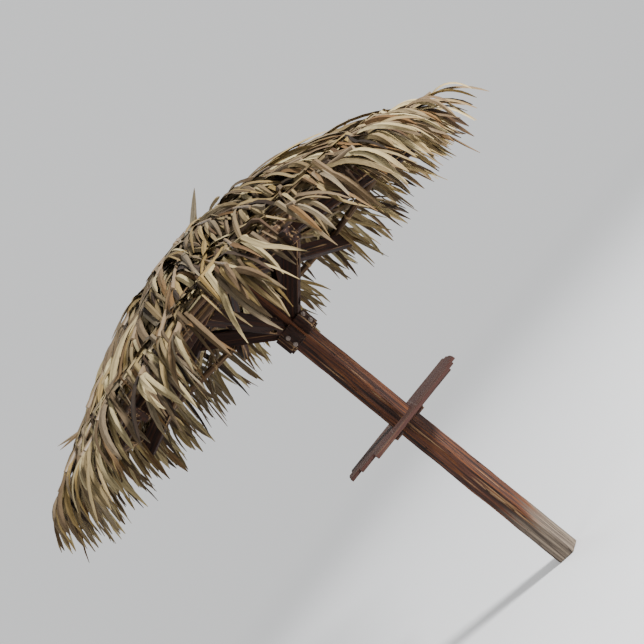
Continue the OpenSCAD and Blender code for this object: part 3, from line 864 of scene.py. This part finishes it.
def timber_material(name, stain, worn, worn_share, foot=0.0, top_worn=0.0, fine=240, relief=0.003,
                    checked=0.013):
    """Stained softwood out in the sun: streaks along the grain, checks, and worn arrises.

    stain is the ramp of the stained wood and worn the ramp where the stain is gone; worn_share is
    how much of the surface has lost it. foot is the height of a grey weathered foot, and top_worn
    adds wear on faces that look up. fine is how many fibres there are in a metre, and relief how
    deep their bump is in metres. checked is how far the drying cracks open.
    """
    made, tree = new_material(name)
    grain = node(tree, ATTRIBUTE, attribute_name="grain").outputs["Vector"]
    arris = node(tree, ATTRIBUTE, attribute_name="arris").outputs["Fac"]
    up = node(tree, ATTRIBUTE, attribute_name="up").outputs["Fac"]
    layers = {}
    # Streaks 26 mm wide and nearly a metre long, patches of 110 mm, and fine fibres
    for key, scale, detail in (("streak", (1.1, 38, 38), 3.0), ("patch", (1.1, 9, 9), 3.0),
                               ("fibre", (2.5, fine, fine), 2.0)):
        stretched = node(tree, STRETCHED, grain, scale)
        layers[key] = node(tree, NOISE, stretched, None, 1.0, detail, 0.5).outputs["Fac"]
    stained = node(tree, RAMP, layers["streak"], stops=stain)
    bare = node(tree, RAMP, layers["streak"], stops=worn)
    # The stain wears off the arrises first, and off patches of the faces
    lost = node(tree, PLUS, layers["streak"], layers["patch"])
    lost = node(tree, TIMES_PLUS, arris, 0.13, lost)
    if top_worn:
        faces_up = node(tree, MAP, up, 0.3, 0.9, 0.0, top_worn)
        lost = node(tree, PLUS, lost, faces_up)
    # The two layers add up to about 1, and seldom to more than 1.3
    edge = 1.32 - 0.6 * worn_share
    lost = node(tree, MAP, lost, edge - 0.10, edge + 0.06)
    place = node(tree, "ShaderNodeTexCoord").outputs["Object"]
    colour = node(tree, MIX, lost, stained, bare).outputs["Result"]
    if foot:
        height = node(tree, SPLIT, place).outputs["Z"]
        for key, climb in (("patch", 0.30), ("streak", 0.45)):
            height = node(tree, TIMES_PLUS, layers[key], climb, height)
        grey_foot = node(tree, MAP, height, foot + 0.30, foot + 0.46, 1.0, 0.0)
        grey = node(tree, RAMP, layers["streak"], stops=[
            (0.30, "#453B33"), (0.50, "#6A5E52"), (0.68, "#857767"),
        ])
        colour = node(tree, MIX, grey_foot, colour, grey).outputs["Result"]
    fibres = node(tree, MAP, layers["fibre"], 0.3, 0.7, 0.62, 0.92)
    # Checks: long thin cracks where the wood has dried
    checks = node(tree, STRETCHED, grain, (0.9, 21, 21))
    checks = node(tree, NOISE, checks, None, 1.0, 1.0, 0.4)
    checks = node(tree, MINUS, checks.outputs["Fac"], 0.5)
    checks = node(tree, MATH, checks, operation="ABSOLUTE")
    open_here = node(tree, MAP, layers["patch"], 0.45, 0.60, 0.0, checked)
    checks = node(tree, MINUS, checks, open_here)
    checks = node(tree, MAP, checks, -0.002, 0.004, 0.16, 1.0)
    shade = node(tree, TIMES, fibres, checks)
    colour = node(tree, MIX, 1.0, colour, shade, blend_type="MULTIPLY")
    height = node(tree, TIMES_PLUS, layers["fibre"], 0.35, checks)
    bump = node(tree, "ShaderNodeBump", 0.5, named={"Distance": relief, "Height": height})
    rough = node(tree, MAP, layers["streak"], 0.3, 0.7, 0.70, 0.92)
    return dress(made, {"Base Color": colour, "Normal": bump, "Roughness": rough,
                        "Specular IOR Level": 0.18})


def turned(*turns):
    """The product of turns about single axes, each an angle and an axis."""
    made = Matrix.Identity(3)
    for angle, axis in turns:
        made = made @ Matrix.Rotation(angle, 3, axis)
    return made


# Ramps of the wood where the stain is gone
BARE_PLANK = [(0.30, "#46302A"), (0.50, "#513A2E"), (0.70, "#5D4637")]
BARE_BROWN = [(0.30, "#5B412E"), (0.50, "#7C5F43"), (0.70, "#967A58")]
WOODS = {
    "post": timber_material("red brown stained post", [
        (0.26, "#231612"), (0.40, "#35211B"), (0.49, "#452B22"), (0.57, "#653C20"),
        (0.63, "#472C24"), (0.74, "#51342A"),
    ], BARE_BROWN, 0.04, foot=0.30),
    # The frame's ramp is its dark stain made darker still, as painted shade from the canopy over it
    "frame": timber_material("stained frame timber with painted shade", [
        (0.25, "#150E0C"), (0.42, "#261813"), (0.58, "#352019"), (0.75, "#45291C"),
    ], BARE_BROWN, 0.04),
    "table": timber_material("worn table planks", [
        (0.25, "#38231E"), (0.42, "#3F2722"), (0.58, "#452B25"), (0.75, "#4C3128"),
    ], BARE_PLANK, 0.16, top_worn=0.08, fine=70, relief=0.0003, checked=0.003),
    "pole": timber_material("peeled purlin pole", [
        (0.25, "#2C2018"), (0.45, "#4A3727"), (0.60, "#5E4732"), (0.75, "#6E573D"),
    ], BARE_BROWN, 0.15),
}
# Each wood's slot, and how high its grain stands, how far its ends fray and how much it sways,
# in metres: the table is rubbed smooth, but its ends are ragged
FINISHES = {
    "post": ("stained_post_timber", 0.0008, 0.003, 0.0030),
    "frame": ("stained_frame_timber", 0.0008, 0.003, 0.0030),
    "table": ("weathered_table_planks", 0.0002, 0.008, 0.0015),
    "pole": ("purlin_poles", 0.0006, 0.003, 0.0030),
}
TIMBER = timber_tree()

# Node, wood, axes with the grain first, step along the grain, step across, and wear
lean = (LEAN, "Y")
upright = turned((POST_TURN, "Z"), (math.radians(-90), "Y"))
timbers = [
    ("post", "post", upright, 0.024, 0.010, 0.003),
    ("cap_board", "frame", turned(lean, (POST_TURN, "Z")), 0.012, 0.008, 0.003),
]
for k, side in enumerate(SIDES):
    heading = math.radians(90 * k) + POST_TURN
    rise = BRACE_RISE - LEAN * math.cos(heading)
    brace = turned((heading, "Z"), (-rise, "Y"))
    rafter = turned(lean, (heading, "Z"), (RAFTER_FALL, "Y"))
    timbers += [
        (f"hub_cleat_{side}", "frame", upright, 0.012, 0.008, 0.003),
        (f"brace_{side}", "frame", brace, 0.020, 0.010, 0.003),
        (f"main_rafter_{side}", "frame", rafter, 0.030, 0.012, 0.004),
    ]
for k, corner in enumerate(CORNERS):
    heading = math.radians(90 * k + 45) + POST_TURN
    rafter = turned(lean, (heading, "Z"), (RAFTER_FALL, "Y"))
    timbers += [(f"hip_rafter_{corner}", "frame", rafter, 0.030, 0.012, 0.004)]
for k in range(1, BAYS + 1):
    pole = turned(lean, (BAY * (k - 0.5) + POST_TURN + math.radians(90), "Z"))
    for ring in ("outer", "inner"):
        timbers += [(f"{ring}_purlin_{k}", "pole", pole, 0.025, 0.012, 0.001)]
for side in ("left", "right"):
    across = turned((math.radians(90), "Z"))
    timbers += [(f"table_bearer_{side}", "frame", across, 0.014, 0.008, 0.003)]
for k in range(1, TABLE_BOARDS + 1):
    timbers += [(f"table_board_{k}", "table", Matrix.Identity(3), 0.012, 0.007, 0.005)]
for seed, (name, wood, axes, step, fine, wear) in enumerate(timbers):
    slot, ridge, fray, sway = FINISHES[wood]
    mesh = gridded(name, axes, step, fine, random.Random(seed))
    piece = made_by_nodes("worn_" + name, mesh, TIMBER, {
        "Wood": WOODS[wood], "Wear": wear, "Fray": fray, "Sway": sway, "Ridge Depth": ridge,
    })
    hand_over(piece, slot, name)


# ---------------------------------------------------------------- twine and steel

def twine_material():
    """Sisal: coarse plied fibre, tan, with painted shade down in the lay."""
    made, tree = new_material("weathered sisal twine")
    place = node(tree, "ShaderNodeTexCoord").outputs["Object"]
    # The lay of its plies, about 2 mm
    ply = node(tree, NOISE, place, None, 420.0, 2.0, 0.6)
    # Painted shade: darkest where the bump is lowest, down in the lay
    colour = node(tree, RAMP, ply, stops=[(0.30, "#3E2F1E"), (0.50, "#7D6543"), (0.70, "#A58B60")])
    bump = node(tree, "ShaderNodeBump", 0.8, named={"Distance": 0.001, "Height": ply})
    return dress(made, {"Base Color": colour, "Normal": bump, "Roughness": 0.9})


def twine_tree():
    """Geometry nodes: a coil of twine round the pole at every point, with one loose end."""
    tree, given = new_tree("twine windings", {
        "Coil Radius": PURLIN_RADIUS + TWINE_RADIUS, "Turns": 5.0, "Twine Radius": TWINE_RADIUS,
    }, [("Twine", "NodeSocketMaterial")])
    # The turns lie side by side, in 20 steps each
    height = node(tree, TIMES, given["Turns"], given["Twine Radius"])
    height = node(tree, TIMES, height, 2.0)
    coil = node(tree, "GeometryNodeCurveSpiral", 20, given["Turns"], given["Coil Radius"],
                given["Coil Radius"], height)
    # The loose end leaves the coil, sags and sticks out
    start = node(tree, COMBINE, given["Coil Radius"], 0.0, 0.0)
    loose = node(tree, "GeometryNodeCurvePrimitiveBezierSegment", 10, start, (0.028, -0.030, -0.01),
                 (0.046, -0.050, 0.016), (0.070, -0.052, 0.010))
    both = node(tree, "GeometryNodeJoinGeometry", coil)
    fill(tree, both.inputs[0], loose)
    strand = node(tree, "GeometryNodeCurvePrimitiveCircle", 6, given["Twine Radius"])
    coil = node(tree, "GeometryNodeCurveToMesh", both, strand, named={"Fill Caps": True})
    pole = node(tree, READ_VECTOR, "pole")
    along_pole = node(tree, "FunctionNodeAlignRotationToVector", None, None, pole)
    coils = node(tree, "GeometryNodeInstanceOnPoints", given["Geometry"], None, coil, None, None,
                 along_pole)
    coils = node(tree, "GeometryNodeRealizeInstances", coils)
    coils = node(tree, "GeometryNodeSetShadeSmooth", coils)
    coils = node(tree, "GeometryNodeSetMaterial", coils, None, given["Twine"])
    node(tree, "NodeGroupOutput", coils)
    return tree


def steel_material():
    """Zinc-coated steel by the sea: dull crystals, with rust bleeding over it."""
    made, tree = new_material("rusting galvanised steel")
    place = node(tree, "ShaderNodeTexCoord").outputs["Object"]
    # Crystals 4 mm wide, under rust in patches of 14 mm
    crystals = node(tree, "ShaderNodeTexVoronoi", place, None, 260.0)
    crystals = crystals.outputs["Distance"]
    zinc = node(tree, RAMP, crystals, stops=[(0.1, "#6E716F"), (0.8, "#8E908C")])
    spread = node(tree, NOISE, place, None, 70.0, 4.0, 0.65).outputs["Fac"]
    rust = node(tree, MAP, spread, 0.42, 0.56)
    brown = node(tree, RAMP, spread, stops=[(0.45, "#6B3A1C"), (0.62, "#3F2415")])
    colour = node(tree, MIX, rust, zinc, brown)
    bare = node(tree, MAP, rust, 0.0, 1.0, 0.9, 0.0)
    rough = node(tree, MAP, rust, 0.0, 1.0, 0.48, 0.92)
    return dress(made, {"Base Color": colour, "Metallic": bare, "Roughness": rough})


# Two coils on each outer purlin and one on each inner one, as in the frame
places, poles = [], []
for k in range(1, BAYS + 1):
    turn = turned(lean, (BAY * (k - 0.5) + POST_TURN, "Z"))
    for ring, shares in ((OUTER_RING, (-0.5, 0.5)), (INNER_RING, (0.0,))):
        for share in shares:
            spot = Vector((ring * math.cos(BAY / 2), share * ring * math.sin(BAY / 2),
                           PURLIN_TOP - PURLIN_RADIUS - ring * RAFTER_SLOPE))
            places.append(turn @ spot + Vector((0, 0, POST_TOP)))
            poles += list(turn @ Vector((0, 1, 0)))
mesh = bpy.data.meshes.new("coil_places")
mesh.from_pydata(places, [], [])
keep(mesh, "pole", poles)
piece = made_by_nodes("twine_coils", mesh, twine_tree(), {"Twine": twine_material()})
hand_over(piece, "sisal_twine", "twine_lashings")

# Bolts, screws and nails keep the frame's own exact shapes
STEEL = steel_material()
for name in ("cleat_bolts", "brace_screws", "clamp_bolts", "board_screws", "frame_nails"):
    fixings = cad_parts[name].data
    fixings.materials.clear()
    fixings.materials.append(STEEL)
